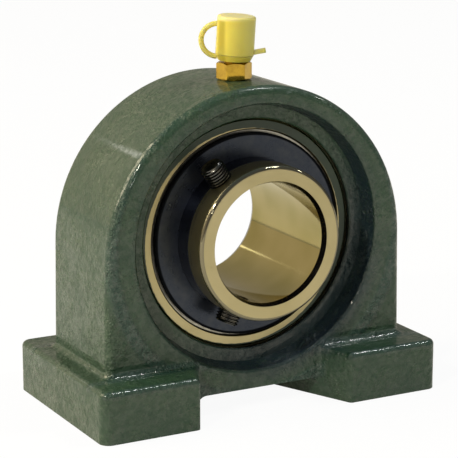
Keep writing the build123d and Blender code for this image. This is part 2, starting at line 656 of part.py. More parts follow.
# --- build and write -----------------------------------------------------------------------------
parts = {
    "housing": housing(),
    "locating_pin": locating_pin(),
    "outer_ring": outer_ring(),
    "inner_ring": inner_ring(),
    "front_seal_plate": on_side(seal_plate_section(), -1),
    "rear_seal_plate": on_side(seal_plate_section(), 1),
    "front_seal_lip": on_side(seal_lip_section(), -1),
    "rear_seal_lip": on_side(seal_lip_section(), 1),
    "front_slinger": on_side(slinger_section(), -1),
    "rear_slinger": on_side(slinger_section(), 1),
    "cage_front_half": cage_half(-1),
    "cage_rear_half": cage_half(1),
    "cage_rivets": cage_rivets(),
    "nipple_body": nipple_body(),
    "nipple_check_ball": nipple_place * Pos(0, 0, check_ball_height()) * Sphere(CHECK_BALL_RADIUS),
    "nipple_spring": nipple_spring(),
    "nipple_cap": cap(),
    "cap_collar": cap_collar(),
    "cap_strap": cap_strap(),
}
for ball_index in range(BALL_COUNT):
    parts[f"ball_{ball_index + 1}"] = ball_place(ball_index) * Sphere(BALL_RADIUS)
for screw_index, (angle, standout) in enumerate(zip(SCREW_ANGLES, SCREW_STANDOUT)):
    screw_place = radial_place(angle, SCREW_AXIAL, INNER_RING_RADIUS + standout)
    parts[f"set_screw_{screw_index + 1}"] = screw_place * set_screw()

os.makedirs("parts", exist_ok=True)
for name, shape in parts.items():
    export_step(shape, f"parts/{name}.step")
    print(name, round(shape.volume, 3), "valid" if shape.is_valid else "NOT VALID")
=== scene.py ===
# %% [markdown]
# # A pillow block bearing
# A pillow block is a cast housing that is bolted to a machine and holds a ball bearing for a shaft.
# The frame that is loaded here has every solid at its real size, so this script never moves or
# resizes one. It gives each surface its finish, and it makes anew the few pieces that need more
# than the solids have: the threads of the set screws, the wound spring of the grease nipple, and
# the moulded strap of its cap.
# All lengths are metres. Z is up, the shaft runs along Y, and the set screws are at its -Y end.

import math

import bmesh
import bpy
from mathutils import Matrix, Vector


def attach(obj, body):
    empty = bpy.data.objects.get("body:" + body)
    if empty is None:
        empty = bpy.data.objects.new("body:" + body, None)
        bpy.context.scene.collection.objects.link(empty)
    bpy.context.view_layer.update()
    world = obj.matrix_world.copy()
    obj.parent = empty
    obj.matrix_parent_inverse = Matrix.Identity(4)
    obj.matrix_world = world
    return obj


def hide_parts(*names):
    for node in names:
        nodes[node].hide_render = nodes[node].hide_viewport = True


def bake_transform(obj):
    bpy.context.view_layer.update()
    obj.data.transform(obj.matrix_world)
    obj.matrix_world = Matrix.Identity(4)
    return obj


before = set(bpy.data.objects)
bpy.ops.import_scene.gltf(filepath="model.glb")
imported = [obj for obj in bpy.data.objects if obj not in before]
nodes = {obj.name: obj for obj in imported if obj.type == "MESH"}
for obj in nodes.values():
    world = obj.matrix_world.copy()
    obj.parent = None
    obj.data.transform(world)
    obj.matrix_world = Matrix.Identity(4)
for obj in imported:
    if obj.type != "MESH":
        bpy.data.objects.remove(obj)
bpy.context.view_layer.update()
MM = 0.001
SHAFT_HEIGHT, NIPPLE_Y = 42.9 * MM, -3.0 * MM

# %% [markdown]
# ## The camera
# A product picture is taken from a little above and to one side, with a long lens, so that near and
# far edges keep almost the same size. The camera is placed by its bearing, its height angle and its
# distance from an aim point, because those are the numbers that a person can judge.

# %% Place the camera
def place_camera(bearing, height, distance, aim, focal_length):
    """A camera that looks at the aim point from a bearing and a height angle, in degrees."""
    a, e = math.radians(bearing), math.radians(height)
    back = Vector((math.sin(a) * math.cos(e), -math.cos(a) * math.cos(e), math.sin(e)))
    data = bpy.data.cameras.new("camera")
    data.sensor_fit = "HORIZONTAL"
    data.sensor_width = 36
    data.lens = focal_length
    data.clip_start, data.clip_end = 0.01, 50
    camera = bpy.data.objects.new("camera", data)
    bpy.context.scene.collection.objects.link(camera)
    camera.location = Vector(aim) + back * distance
    camera.rotation_mode = "QUATERNION"
    camera.rotation_quaternion = (-back).to_track_quat("-Z", "Y")
    return camera


camera = place_camera(
    bearing=-28.304, height=13.742, distance=0.501625, aim=(0.000214, 0, 0.04194), focal_length=156.4)
bpy.context.scene.camera = camera
bpy.context.scene.view_settings.view_transform = "Standard"
print("camera at", camera.location[:])

# %% [markdown]
# ## Shader maths
# A finish is a small calculation that is made at every point of a surface. Node by node it is long
# to read, so a wire is wrapped in a class that understands +, -, * and /, and one method makes any
# node. Many finishes change at a place, such as an edge or the mouth of a bore. Such a place is a
# soft step of a length, and where two steps have to hold at once they are multiplied.

# %% A wire that can be added and multiplied
class Wire:
    """The output of a shader node, usable in sums."""

    def __init__(self, graph, socket):
        self.graph, self.socket = graph, socket

    def maths(self, operation, *values):
        return self.graph.node("ShaderNodeMath", {"operation": operation}, *values)

    def size(self):
        """The value without its sign."""
        return self.maths("ABSOLUTE", self)

    def larger(self, other):
        return self.maths("MAXIMUM", self, other)

    def __add__(self, other):
        return self.maths("ADD", self, other)

    def __sub__(self, other):
        return self.maths("SUBTRACT", self, other)

    def __rsub__(self, other):
        return self.maths("SUBTRACT", other, self)

    def __mul__(self, other):
        return self.maths("MULTIPLY", self, other)

    def __truediv__(self, other):
        return self.maths("DIVIDE", self, other)

    def __pow__(self, other):
        return self.maths("POWER", self, other)

    __radd__ = __add__
    __rmul__ = __mul__


class Graph:
    """The nodes of one material or world."""

    def __init__(self, tree):
        self.tree = tree
        tree.nodes.clear()

    def node(self, kind, settings, *values, out=0, **named):
        """Makes a node: first its settings, then its sockets by order or by name."""
        node = self.tree.nodes.new(kind)
        for key, value in settings.items():
            setattr(node, key, value)
        sockets = list(enumerate(values)) + [(k.replace("_", " "), v) for k, v in named.items()]
        for key, value in sockets:
            if isinstance(value, Wire):
                self.tree.links.new(value.socket, node.inputs[key])
            else:
                node.inputs[key].default_value = value
        return Wire(self, node.outputs[out]) if node.outputs else node

    def place(self):
        """Where the point is on the object, in metres."""
        return self.node("ShaderNodeTexCoord", {}, out="Object")

    def split(self, vector):
        """The three numbers of a vector."""
        node = self.node("ShaderNodeSeparateXYZ", {}, vector).socket.node
        return [Wire(self, s) for s in node.outputs]

    def ray(self, kind):
        """1 where a ray of this kind has met the point, and 0 elsewhere."""
        return self.node("ShaderNodeLightPath", {}, out=kind)

    def noise(self, place, size, detail=2.0, roughness=0.5):
        """Cloudy values from 0 to 1, about 0.5, with patches about this size in millimetres."""
        return self.node("ShaderNodeTexNoise", {}, Vector=place, Scale=1 / (size * MM),
                         Detail=detail, Roughness=roughness)

    def between(self, value, low, high, start=0.0, end=1.0):
        """A soft step: start below low, end above high."""
        return self.node("ShaderNodeMapRange", {"interpolation_type": "SMOOTHSTEP"},
                         value, low, high, start, end)

    def above(self, length, low, high):
        """Rises from 0 to 1 while a length goes from low to high, both in millimetres."""
        return self.between(length, low * MM, high * MM)

    def below(self, length, low, high):
        """Falls from 1 to 0 while a length goes from low to high, both in millimetres."""
        return self.between(length, low * MM, high * MM, 1.0, 0.0)

    def within(self, length, rise, fall):
        """1 between two soft steps, each a pair of millimetres, and 0 outside them."""
        return self.above(length, *rise) * self.below(length, *fall)

    def blend(self, share, first, second):
        """One colour mixed with another: the share is how much there is of the second."""
        node = self.node("ShaderNodeMix", {"data_type": "RGBA"}, share).socket.node
        for socket, value in ((node.inputs[6], first), (node.inputs[7], second)):
            if isinstance(value, Wire):
                self.tree.links.new(value.socket, socket)
            else:
                socket.default_value = (*value, 1)
        return Wire(self, node.outputs[2])

    def relief(self, height):
        """A bump whose height is in metres."""
        return self.node("ShaderNodeBump", {}, Height=height, Strength=1.0, Distance=1.0)


def length_of(*parts):
    """The length of an offset, from its parts."""
    return sum(part * part for part in parts) ** 0.5


def finish_named(name, paint, **constants):
    """A material: paint(graph) gives the sockets that vary, and constants the ones that don't."""
    material = bpy.data.materials.new(name)
    material.use_nodes = True
    graph = Graph(material.node_tree)
    shader = graph.node("ShaderNodeBsdfPrincipled", {}, **paint(graph), **constants)
    graph.node("ShaderNodeOutputMaterial", {}, Surface=shader)
    return material


def dress(material, *names):
    """Puts a material on the named solids."""
    for name in names:
        slots = nodes[name].data.materials
        slots.clear()
        slots.append(material)
    print(material.name, "on", ", ".join(names))

# %% [markdown]
# ## The floor
# The floor is pale board that runs out of sight. Seen directly it glows until it is almost white,
# with the object's shadow kept. Shiny surfaces mirror it with a little warm glow, and all other light
# that it throws back is that of the board. It lies a hair under the feet, and from below it can be
# seen through.

# %% Lay the floor
FLOOR_REACH, FLOOR_DROP = 6, 0.02 * MM
WHITE, BOARD, WARM_WHITE = (1, 1, 1, 1), (0.86, 0.855, 0.84, 1), (1.0, 0.93, 0.76, 1)
SEEN_GLOW, MIRRORED_GLOW = 0.94, 0.33


def floor_finish():
    """White board that glows where it is seen, and is clear from below."""
    material = bpy.data.materials.new("pale_floor")
    material.use_nodes = True
    graph = Graph(material.node_tree)
    camera_ray = graph.ray("Is Camera Ray")
    board = graph.node("ShaderNodeBsdfDiffuse", {}, Color=BOARD)
    glow = graph.node("ShaderNodeEmission", {}, Color=WHITE, Strength=1.0)
    warm = graph.node("ShaderNodeEmission", {}, Color=WARM_WHITE, Strength=1.0)
    clear = graph.node("ShaderNodeBsdfTransparent", {})
    back = graph.node("ShaderNodeNewGeometry", {}, out="Backfacing")
    seen = (camera_ray + graph.ray("Is Transmission Ray")) * SEEN_GLOW
    mixed = graph.node("ShaderNodeMixShader", {}, seen, board, glow)
    mirrored = graph.ray("Is Glossy Ray") * MIRRORED_GLOW
    mixed = graph.node("ShaderNodeMixShader", {}, mirrored, mixed, warm)
    mixed = graph.node("ShaderNodeMixShader", {}, back * camera_ray, mixed, clear)
    graph.node("ShaderNodeOutputMaterial", {}, Surface=mixed)
    return material


def mesh_object(name, mesh_maker):
    """An object at the origin whose mesh is filled by mesh_maker(bm)."""
    bm = bmesh.new()
    mesh_maker(bm)
    mesh = bpy.data.meshes.new(name)
    bm.to_mesh(mesh)
    bm.free()
    made = bpy.data.objects.new(name, mesh)
    bpy.context.scene.collection.objects.link(made)
    return made


def floor_mesh(bm):
    bmesh.ops.create_grid(bm, x_segments=1, y_segments=1, size=FLOOR_REACH)


floor = mesh_object("floor", floor_mesh)
floor.location.z = -FLOOR_DROP
floor.data.materials.append(floor_finish())
print("floor:", FLOOR_REACH, "m to each side")

# %% [markdown]
# ## The room and its lamps
# Shiny paint and steel look like what stands around them, so the room matters as much as the lamps.
# Its walls are dim, but warm at the left rear, and its ceiling is cool.
# Each lamp has its own job. The key lamp and the large window light the paint. A narrow strip that
# lies along X draws glints on the front edges of the casting. Three small lamps add highlights at the
# right, at the front and in the bore.

# %% Light the room
DIM_WALL, WARM_WALL, COOL_CEILING = (0.27, 0.26, 0.25), (1.0, 0.86, 0.64), (0.20, 0.27, 0.30)
CEILING_SHARE, ROOM_LEVEL = 0.8, 0.8
OBJECT_MIDDLE = Vector((0, 0, SHAFT_HEIGHT))
# name, direction from the object's middle, distance, size along X, size across, watts, colour
LAMPS = (
    ("key_lamp", (-0.70, -0.39, 0.60), 1.2, 0.085, 0.085, 5.7, (1.0, 0.95, 0.80)),
    ("window_lamp", (-0.75, 0.29, 0.60), 1.3, 0.8, 0.8, 14.8, (1.0, 0.87, 0.62)),
    ("edge_lamp", (0.475, -0.22, 0.852), 1.2, 0.28, 0.022, 4.2, (0.96, 0.98, 0.95)),
    ("far_right_lamp", (0.82, -0.15, 0.54), 1.2, 0.07, 0.07, 0.7, (0.98, 0.98, 0.93)),
    ("near_lamp", (-0.415, -0.864, 0.287), 1.1, 0.045, 0.045, 0.35, (1.0, 0.97, 0.90)),
    ("rear_lamp", (-0.293, 0.8655, 0.4065), 1.1, 0.04, 0.04, 0.018, (1.0, 0.97, 0.90)),
)


def room():
    """Dim walls, warm at the left rear, a cool ceiling, and white where the room itself is seen."""
    world = bpy.data.worlds.new("room")
    world.use_nodes = True
    bpy.context.scene.world = world
    graph = Graph(world.node_tree)
    x, y, z = graph.split(graph.node("ShaderNodeTexCoord", {}, out="Generated"))
    left_rear = graph.between(0.6 * y - 0.8 * x, -0.3, 0.8)
    ceiling = graph.between(z, 0.35, 0.95) * CEILING_SHARE
    walls = graph.blend(left_rear, DIM_WALL, WARM_WALL)
    walls = graph.blend(ceiling, walls, COOL_CEILING)
    shade = graph.node("ShaderNodeBackground", {}, Color=walls, Strength=ROOM_LEVEL)
    white = graph.node("ShaderNodeBackground", {}, Color=WHITE, Strength=1.0)
    seen = graph.ray("Is Camera Ray") + graph.ray("Is Transmission Ray")
    mixed = graph.node("ShaderNodeMixShader", {}, seen, shade, white)
    graph.node("ShaderNodeOutputWorld", {}, Surface=mixed)


def lamp_towards(name, direction, distance, length, width, watts, colour):
    """A rectangular lamp that faces the object's middle, with its length as near X as it can be."""
    data = bpy.data.lights.new(name, "AREA")
    data.shape, data.size, data.size_y = "RECTANGLE", length, width
    data.energy, data.color = watts, colour
    lamp = bpy.data.objects.new(name, data)
    bpy.context.scene.collection.objects.link(lamp)
    out = Vector(direction).normalized()
    along = (Vector((1, 0, 0)) - out * out.x).normalized()
    lamp.location = OBJECT_MIDDLE + out * distance
    lamp.rotation_mode = "QUATERNION"
    lamp.rotation_quaternion = Matrix((along, out.cross(along), out)).transposed().to_quaternion()


room()
for lamp_row in LAMPS:
    lamp_towards(*lamp_row)
print("lamps:", ", ".join(row[0] for row in LAMPS))

# %% [markdown]
# ## The painted casting
# The housing is grey iron that is poured into sand, knocked clean and painted with green enamel.
# Sand leaves a grain finer than a millimetre, the pattern leaves slow waves, and thick paint flows
# over both like orange peel. Each of these is one noise, added up as a height in metres, so the
# depth of the grain can be read and changed as a real size.
# The paint is thin and shiny on rounded edges, where a teal tint is a painted sheen. Shade is
# painted into the recess round the bearing: on its wall, at the lower right of its bottom, and in a
# halo on the face at its lower right. The seat, the base holes and the undersides of the feet are
# machined and stay bare.

# %% Edges of the casting
# A pair of numbers is a soft step in millimetres, which starts at the first and ends at the second.
ARCH_RADIUS, ARCH_HALF = 40.0 * MM, 16.25 * MM
FOOT_TOP, FOOT_HALF = 13.0 * MM, 25.5 * MM
ARCH_FADE, FOOT_FADE, FOOT_SIDE = (1.0, 2.4), (0.8, 2.2), (-1.8, -0.9)
CORNER_START, CORNER_END = (-0.3, 0.0), (1.5, 3.0)


def casting_edges(graph, y, z, from_axis):
    """The rounded edges of the arch, and the edges and inner corners at the top of the feet."""
    from_side = (ARCH_RADIUS - from_axis).size()
    from_face = (ARCH_HALF - y.size()).size()
    arch_edge = graph.below(from_side.larger(from_face), *ARCH_FADE)
    foot_side = graph.above(y.size() - FOOT_HALF, *FOOT_SIDE)
    corner = graph.within(y.size() - ARCH_HALF, CORNER_START, CORNER_END)
    from_step = (z + (SHAFT_HEIGHT - FOOT_TOP)).size()
    foot_edge = graph.below(from_step, *FOOT_FADE) * foot_side.larger(corner)
    return arch_edge.larger(foot_edge)

# %% Painted shade in the recess round the bearing
RAGGED_SIZE, RAGGED_REACH = 2.2, 2.4 * MM
BOTTOM_DEPTH, BOTTOM_START, BOTTOM_END = (5.0, 5.2), (27.0, 27.5), (33.0, 33.6)
HOLLOW_TOP, HOLLOW_FOOT = (-0.5, 1.1), (5.0, 5.25)
HOLLOW_START, HOLLOW_END = (31.0, 31.4), (33.8, 36.0)
HALO_END, HALO_DEPTH, HALO_PLACE, SHADE_PLACE = (34.0, 39.0), (1, 3), (20, 33), (-4, 24)


def recess_shade_zones(graph, place, x, y, z, from_axis):
    """Where shade is painted: the bottom's lower right, a ragged halo at the lower right, the wall."""
    depth = ARCH_HALF - y.size()
    ragged = graph.noise(place, RAGGED_SIZE, detail=3, roughness=0.65) - 0.5
    ragged = from_axis + ragged * RAGGED_REACH
    bottom = graph.above(depth, *BOTTOM_DEPTH) * graph.within(from_axis, BOTTOM_START, BOTTOM_END)
    shaded = graph.above(0.7 * x - 0.7 * z, *SHADE_PLACE)
    halo = graph.below(ragged, *HALO_END) * graph.below(depth, *HALO_DEPTH)
    low_right = graph.above(0.6 * x - 0.8 * z, *HALO_PLACE)
    hollow = graph.within(depth, HOLLOW_TOP, HOLLOW_FOOT)
    hollow = hollow * graph.above(from_axis, *HOLLOW_START) * graph.below(ragged, *HOLLOW_END)
    return bottom * shaded, halo * low_right, hollow

# %% Machined places
SEAT_RADIUS, HOLE_PLACE, HOLE_RADIUS = 31.0 * MM, 33.0 * MM, 6.0 * MM
UNDERSIDE_UP, SEAT_FADE, SEAT_HALF = (0.02, 0.06), (0.1, 0.25), (8.6, 9.2)
HOLE_FADE, HOLE_UP = (0.15, 0.3), (20, 21)


def machined_places(graph, x, y, z):
    """The undersides of the feet, the ball-shaped seat and the base holes."""
    height = z + SHAFT_HEIGHT
    underside = graph.below(height, *UNDERSIDE_UP)
    from_seat = (length_of(x, y, z) - SEAT_RADIUS).size()
    seat = graph.below(from_seat, *SEAT_FADE) * graph.below(y.size(), *SEAT_HALF)
    from_hole = length_of(x.size() - HOLE_PLACE, y) - HOLE_RADIUS
    hole = graph.below(from_hole, *HOLE_FADE) * graph.below(height, *HOLE_UP)
    return underside.larger(seat).larger(hole)

# %% Enamel over sand-cast iron
# Waves, peel, grain and cuts: each has its noise's size in millimetres and its height in metres.
WAVE_SIZE, WAVE_HEIGHT = 12, 1.2 * MM
PEEL_SIZE, PEEL_HEIGHT = 1.3, 0.62 * MM
GRAIN_SIZE, GRAIN_HEIGHT = 0.55, 0.2 * MM
CUT_SIZE, CUT_HEIGHT = 0.25, 0.006 * MM
PATCH_SIZE, DUST_SIZE, SPECK_SIZE, GLOSS_SIZE, DULL_SIZE = 9, 1.1, 0.9, 1.4, 5
PARTING_LINE, DRAFT_SLOPE, CUT_STRETCH = 2.0 * MM, 0.044, (0.06, 1, 1)
DEEP_GREEN, LIGHT_GREEN = (0.0125, 0.041, 0.021), (0.020, 0.051, 0.024)
DUST_COLOUR, PAINTED_EDGE_SHEEN = (0.07, 0.075, 0.05), (0.012, 0.044, 0.040)
# Navy colours of painted shade in the recess, and on the face at its lower right.
PAINTED_BOTTOM_SHADE, PAINTED_HALO_SHADE = (0.010, 0.020, 0.030), (0.008, 0.018, 0.029)
PAINTED_WALL_SHADE = (0.007, 0.015, 0.027)
DARK_IRON, LIGHT_IRON = (0.22, 0.215, 0.20), (0.33, 0.32, 0.30)


def casting_paint(graph):
    """Green enamel with its edges, recess and machined places."""
    place = graph.place()
    x, y, z = graph.split(place)
    z = z - SHAFT_HEIGHT
    from_axis = length_of(x, z)
    edge = casting_edges(graph, y, z, from_axis)
    bottom, halo, hollow = recess_shade_zones(graph, place, x, y, z, from_axis)
    bare = machined_places(graph, x, y, z)

    patches = graph.noise(place, PATCH_SIZE, detail=3, roughness=0.6)
    rough_places = graph.between(patches, 0.45, 0.7)
    waves = graph.noise(place, WAVE_SIZE, detail=1.5) * WAVE_HEIGHT
    peel = graph.noise(place, PEEL_SIZE) * PEEL_HEIGHT
    grain = graph.noise(place, GRAIN_SIZE, detail=1.5) * GRAIN_HEIGHT
    draft = (y - PARTING_LINE).size() * DRAFT_SLOPE
    height = (waves + peel * (0.5 + rough_places + edge * 0.5)
              + grain * (0.6 + rough_places + edge * 1.5) - draft)

    dust = graph.between(graph.noise(place, DUST_SIZE, detail=4, roughness=0.7), 0.62, 0.78)
    specks = graph.between(graph.noise(place, SPECK_SIZE, detail=3, roughness=0.7), 0.52, 0.66)
    colour = graph.blend(graph.between(patches, 0.3, 0.75), DEEP_GREEN, LIGHT_GREEN)
    colour = graph.blend(dust * 0.15, colour, DUST_COLOUR)
    # Painted shade on the recess's bottom. The halo and the wall get theirs two lines below.
    colour = graph.blend(bottom * 0.8, colour, PAINTED_BOTTOM_SHADE)
    # Painted sheen: rounded edges get a teal tint for the cool light they catch. Their gloss and grain
    # are real.
    colour = graph.blend(edge * 0.45, colour, PAINTED_EDGE_SHEEN)
    colour = graph.blend(halo * 0.6, colour, PAINTED_HALO_SHADE)
    colour = graph.blend(hollow * (0.85 - specks * 0.45), colour, PAINTED_WALL_SHADE)
    dull = graph.noise(place, DULL_SIZE, detail=3)
    roughness = graph.between(dull, 0.3, 0.7, 0.38, 0.52)
    gloss = graph.between(graph.noise(place, GLOSS_SIZE, detail=3, roughness=0.65), 0.42, 0.62)
    coat = 0.3 + gloss * 0.4 + edge * gloss * 0.3

    drawn_out = graph.node("ShaderNodeMapping", {}, place, Scale=CUT_STRETCH)
    cuts = graph.noise(drawn_out, CUT_SIZE, roughness=0.6)
    painted = 1.0 - bare
    return {
        "Base_Color": graph.blend(bare, colour, graph.blend(cuts, DARK_IRON, LIGHT_IRON)),
        "Roughness": roughness * painted + bare * (0.34 + cuts * 0.12),
        "Metallic": bare,
        "Coat_Weight": coat * painted,
        "Normal": graph.relief(height * painted + bare * cuts * CUT_HEIGHT),
    }


dress(finish_named("casting_paint", casting_paint, IOR=1.45, Coat_Roughness=0.07), "housing")

# %% [markdown]
# ## Ground and turned steel
# The rings are ground after hardening, which leaves fine lines that run round the shaft. The lines
# are noise that hardly changes around the shaft and changes quickly along the radius or along the
# shaft. Rust-preventing oil warms the colour.
# Both rings share one finish, whose places are rings themselves: soft steps of the distance from the
# shaft's axis, and of the distance along it. A round mask covered the bearing while the housing was
# painted. It sat a little off the middle, and green reached the outer ring's face beyond it.

# %% Bearing steel
# Soft steps in millimetres. Along the shaft, the inner ring's are counted from its own middle.
INNER_MIDDLE = -3.15 * MM
INNER_END, GROUND_END = (18.99, 19.03), (11.9, 12.7)
BORE_OUT, COLLAR_IN, COLLAR_OUT = (15.5, 15.6), (19.2, 19.32), (20.5, 21.0)
BEVEL_END, BEVEL_IN, BEVEL_OUT = (17.6, 17.7), (15.02, 15.08), (15.58, 15.63)
ROUNDED_END, ROUNDED_IN = (18.15, 18.4), (18.45, 18.6)
OUTER_FACE, TRACK_OUT = (9.45, 9.48), (22.0, 22.1)
LIP_FACE, LIP_IN, LIP_OUT = (8.4, 8.6), (25.9, 26.0), (26.35, 26.45)
SHOULDER_FACE, SHOULDER_IN = (8.6, 9.0), (28.9, 29.1)
MASK_X, MASK_Z, MASK_EDGE, MASK_RAGGED = -0.6 * MM, -0.8 * MM, (27.47, 27.59), 0.35 * MM
LINE_SIZE, STAIN_SIZE, OIL_SIZE, SPRAY_SIZE = 0.12, 4, 16, 1.5
SIDE_STEEL, FACE_STEEL, BORE_STEEL = (0.44, 0.40, 0.24), (0.50, 0.435, 0.255), (0.27, 0.234, 0.084)
OILED_STEEL, STAINED_STEEL = (0.42, 0.36, 0.19), (0.22, 0.17, 0.1)
BEVEL_SCALE_AND_REFLECTION, PAINTED_SLINGER_REFLECTION = (0.05, 0.05, 0.052), (0.07, 0.075, 0.095)
LIP_GAP_SHADE, ROUNDED_STEEL = (0.10, 0.085, 0.05), (0.22, 0.20, 0.14)
OVERSPRAY = (0.024, 0.042, 0.027)
LINE_HEIGHT, GROUND_HEIGHT = 0.0006 * MM, 0.045 * MM


def turned_lines(graph, place, size):
    """Lines that run round the shaft, and the distance from its axis."""
    x, y, z = graph.split(place)
    radius = length_of(x, z - SHAFT_HEIGHT)
    line_place = graph.node("ShaderNodeCombineXYZ", {}, radius, y, 0.0)
    return graph.noise(line_place, size, detail=2, roughness=0.6), radius


def ring_steel(graph):
    """Ground steel: flat faces, bronze bore, collar, overspray, painted dark reflection and shade."""
    place = graph.place()
    x, y, z = graph.split(place)
    lines, radius = turned_lines(graph, place, LINE_SIZE)
    stains = graph.noise(place, STAIN_SIZE, detail=4, roughness=0.65)
    oil = graph.between(graph.noise(place, OIL_SIZE), 0.3, 0.7)
    along, from_centre = (y - INNER_MIDDLE).size(), y.size()

    outer_face = graph.above(from_centre, *OUTER_FACE) * graph.above(radius, *TRACK_OUT)
    flat = graph.above(along, *INNER_END).larger(outer_face)
    in_bore = graph.below(radius, *BORE_OUT)
    bevel = graph.above(along, *BEVEL_END) * graph.within(radius, BEVEL_IN, BEVEL_OUT)
    rounded = graph.above(along, *ROUNDED_END) * graph.above(radius, *ROUNDED_IN)
    collar = graph.within(radius, COLLAR_IN, COLLAR_OUT)
    ground = collar * graph.above(along, *GROUND_END)
    # Painted reflection: the collar next to the slinger is darkened as if it mirrors the dark slinger.
    slinger_reflection = collar * graph.below(along, *GROUND_END)
    # Painted shade: the outer ring's bore edge is darkened for the dark gap beside the slinger.
    lip = graph.within(radius, LIP_IN, LIP_OUT) * graph.above(from_centre, *LIP_FACE)
    shoulder = graph.above(radius, *SHOULDER_IN) * graph.above(from_centre, *SHOULDER_FACE)
    ragged = graph.noise(place, SPRAY_SIZE, detail=3) * MASK_RAGGED
    from_mask = length_of(x - MASK_X, z - (SHAFT_HEIGHT + MASK_Z)) + ragged
    sprayed = (outer_face * graph.above(from_mask, *MASK_EDGE)).larger(shoulder)

    colour = graph.blend(flat, SIDE_STEEL, FACE_STEEL)
    for share, tint in (
        (in_bore, BORE_STEEL),
        (oil * 0.5, OILED_STEEL),
        (graph.between(stains, 0.68, 0.8) * 0.5, STAINED_STEEL),
        # The bevel's near-black is partly unground scale and partly a painted dark reflection of the
        # room.
        (bevel, BEVEL_SCALE_AND_REFLECTION),
        (slinger_reflection, PAINTED_SLINGER_REFLECTION),
        (lip, LIP_GAP_SHADE),
        # The rounded edge is darkened the same way: partly unground, partly a painted dark reflection.
        (rounded, ROUNDED_STEEL),
        (sprayed, OVERSPRAY),
    ):
        colour = graph.blend(share, colour, tint)
    roughness = (0.06 + flat * 0.32 + bevel * 0.15 + ground * 0.2 + lip * 0.3 + lines * 0.04
                 + graph.between(stains, 0.5, 0.8) * 0.06)
    return {
        "Base_Color": colour,
        "Roughness": roughness,
        "Metallic": 1.0 - sprayed,
        "Normal": graph.relief(lines * (LINE_HEIGHT + ground * GROUND_HEIGHT)),
    }


dress(finish_named("ring_steel", ring_steel), "inner_ring", "outer_ring")

# %% [markdown]
# ## The plain metals
# Balls are polished, and the cage and the seal plates are pressed from sheet. The screws are oiled
# black, and the nipple is turned brass. They differ in colour and gloss alone, so one function
# writes them all, and a table holds what differs: two colours that stains mix, and a roughness.

# %% Balls, cage, seals, screws, spring and brass
FINE_STAINS, FINE_LINES, BALL_COUNT = 2.4, 0.3, 9


def plain_metal(colour, worn, roughness, uneven=1.0):
    """A pressed or polished metal with light stains and uneven gloss."""
    def paint(graph):
        place = graph.place()
        stains = graph.noise(place, FINE_STAINS, detail=4, roughness=0.6)
        lines = turned_lines(graph, place, FINE_LINES)[0]
        height = stains * (0.004 * MM * uneven) + lines * (0.001 * MM * uneven)
        return {
            "Base_Color": graph.blend(graph.between(stains, 0.4, 0.75), colour, worn),
            "Roughness": roughness + lines * (0.08 * uneven) + stains * (0.1 * uneven),
            "Normal": graph.relief(height),
        }
    return paint


# colour, worn colour, roughness, and how uneven it is where that isn't 1
METALS = {
    "ball_steel": ((0.7, 0.7, 0.68), (0.6, 0.58, 0.54), 0.03),
    "cage_steel": ((0.5, 0.49, 0.46), (0.36, 0.34, 0.3), 0.25),
    "seal_steel": ((0.45, 0.44, 0.4), (0.3, 0.28, 0.24), 0.25),
    "pin_steel": ((0.55, 0.54, 0.5), (0.4, 0.36, 0.3), 0.2),
    "spring_steel": ((0.5, 0.5, 0.5), (0.4, 0.38, 0.36), 0.25),
    "screw_steel": ((0.075, 0.077, 0.078), (0.13, 0.12, 0.10), 0.14),
    "brass": ((0.52, 0.335, 0.045), (0.36, 0.22, 0.032), 0.05, 0.5),
}
metals = {
    name: finish_named(name, plain_metal(*look), Metallic=1.0) for name, look in METALS.items()}
dress(metals["ball_steel"], "nipple_check_ball", *[f"ball_{i + 1}" for i in range(BALL_COUNT)])
dress(metals["cage_steel"], "cage_front_half", "cage_rear_half", "cage_rivets")
dress(metals["seal_steel"], "front_seal_plate", "rear_seal_plate")
dress(metals["pin_steel"], "locating_pin")
dress(metals["brass"], "nipple_body")

# %% [markdown]
# ## The slingers
# A slinger is a pressed disc that turns with the inner ring and throws dirt off. It is blackened in
# hot oil, which leaves a thin blue-black skin with the gloss of the sheet below. Its rim faces the
# outer ring and is duller, and it is painted near-black for the shade in the gap between them. That
# is one more soft step of the distance from the shaft's axis.

# %% Slingers
RIM_START = (24.75, 24.95)
BLUE_BLACK, WORN_BLACK = (0.034, 0.041, 0.060), (0.049, 0.055, 0.070)
RIM_GAP_SHADE = (0.008, 0.009, 0.012)


def blackened_steel(graph):
    """Oil-black pressed steel with a duller rim that is painted near-black as shade."""
    place = graph.place()
    lines, radius = turned_lines(graph, place, FINE_LINES)
    stains = graph.noise(place, FINE_STAINS, detail=4, roughness=0.6)
    # Painted shade: the rim is near-black for the dark gap at the outer ring. Its dullness is real.
    rim = graph.above(radius, *RIM_START)
    colour = graph.blend(graph.between(stains, 0.4, 0.75), BLUE_BLACK, WORN_BLACK)
    return {
        "Base_Color": graph.blend(rim, colour, RIM_GAP_SHADE),
        "Roughness": 0.24 + lines * 0.03 + stains * 0.05 + rim * 0.45,
        "Metallic": 0.8 + rim * 0.2,
        "Normal": graph.relief(stains * (0.0015 * MM) + lines * (0.0004 * MM)),
    }


dress(finish_named("slinger_steel", blackened_steel), "front_slinger", "rear_slinger")

# %% [markdown]
# ## Rubber lips
# The lips that touch the inner ring are black rubber, moulded onto the seal plates. Rubber is never
# quite smooth, so one fine grain varies its colour, its gloss and its surface together.

# %% Rubber
RUBBER_GRAIN, DARK_RUBBER, DUSTY_RUBBER = 0.5, (0.012, 0.012, 0.013), (0.03, 0.03, 0.032)


def nitrile(graph):
    """Black rubber with a fine grain."""
    grain = graph.noise(graph.place(), RUBBER_GRAIN, detail=3)
    return {
        "Base_Color": graph.blend(grain, DARK_RUBBER, DUSTY_RUBBER),
        "Roughness": 0.45 + grain * 0.2,
        "Normal": graph.relief(grain * (0.01 * MM)),
    }


